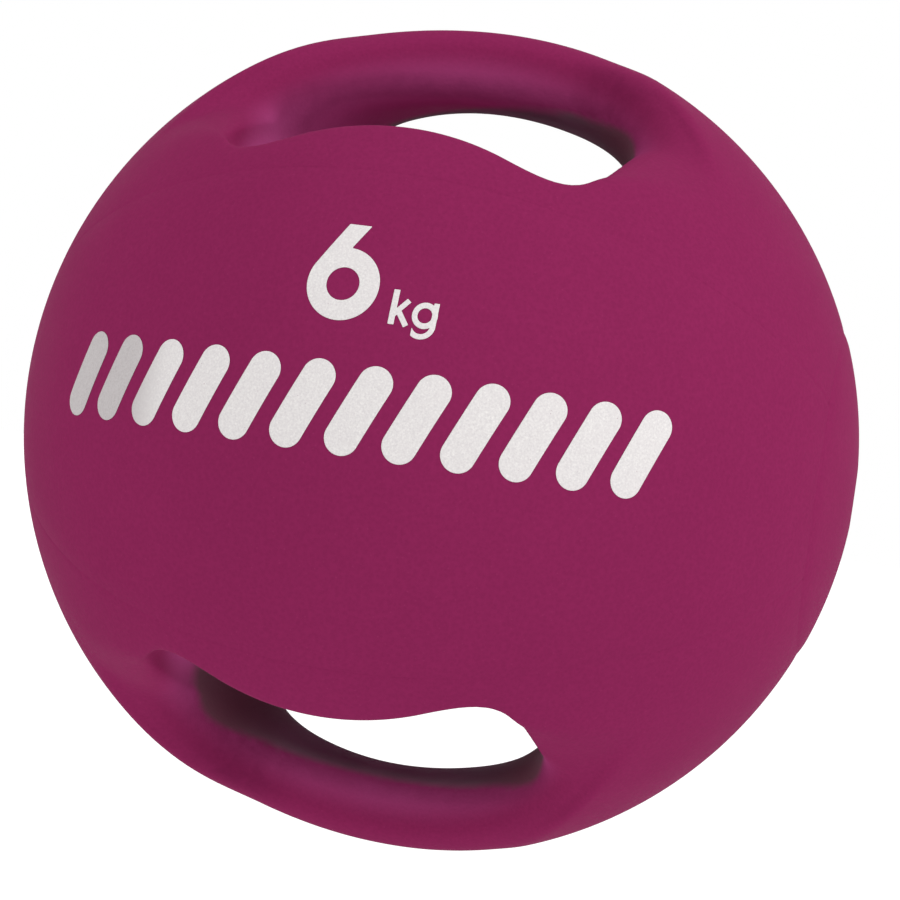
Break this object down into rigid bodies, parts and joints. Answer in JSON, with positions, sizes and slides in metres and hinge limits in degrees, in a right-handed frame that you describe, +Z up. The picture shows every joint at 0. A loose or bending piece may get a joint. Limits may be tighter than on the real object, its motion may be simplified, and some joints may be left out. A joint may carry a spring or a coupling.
{
  "type": "dual-grip medicine ball",
  "caption": "Round rubber medicine ball with a hand opening right through it at the top and bottom, each closed by a moulded grip bar, and a printed weight on its front.",
  "frame": {"origin": "the centre of the ball", "axes": "+Z up through the middle of the upper grip, the printed face towards -Y, the grips run along X and the seams' poles are on X, with the valve at +X"},
  "size_m": [0.2805, 0.2811, 0.279],
  "materials": {
    "rubber_shell": "matt burgundy rubber with a fine moulded grain",
    "liner_rubber": "smooth black airtight rubber",
    "valve_rubber": "satin black moulded rubber",
    "print_ink": "off-white flexible ink, slightly grainy"
  },
  "bodies": {
    "root": {"upper_grip_shell": "rubber_shell", "lower_grip_shell": "rubber_shell", "front_panel": "rubber_shell", "back_panel": "rubber_shell", "right_end_cap": "rubber_shell", "left_end_cap": "rubber_shell", "inner_liner": "liner_rubber", "valve_body": "valve_rubber", "valve_core": "valve_rubber", "numeral_6": "print_ink", "letter_k": "print_ink", "letter_g": "print_ink", "print_bar_01": "print_ink", "print_bar_02": "print_ink", "print_bar_03": "print_ink", "print_bar_04": "print_ink", "print_bar_05": "print_ink", "print_bar_06": "print_ink", "print_bar_07": "print_ink", "print_bar_08": "print_ink", "print_bar_09": "print_ink", "print_bar_10": "print_ink", "print_bar_11": "print_ink", "print_bar_12": "print_ink"}
  },
  "joints": []
}
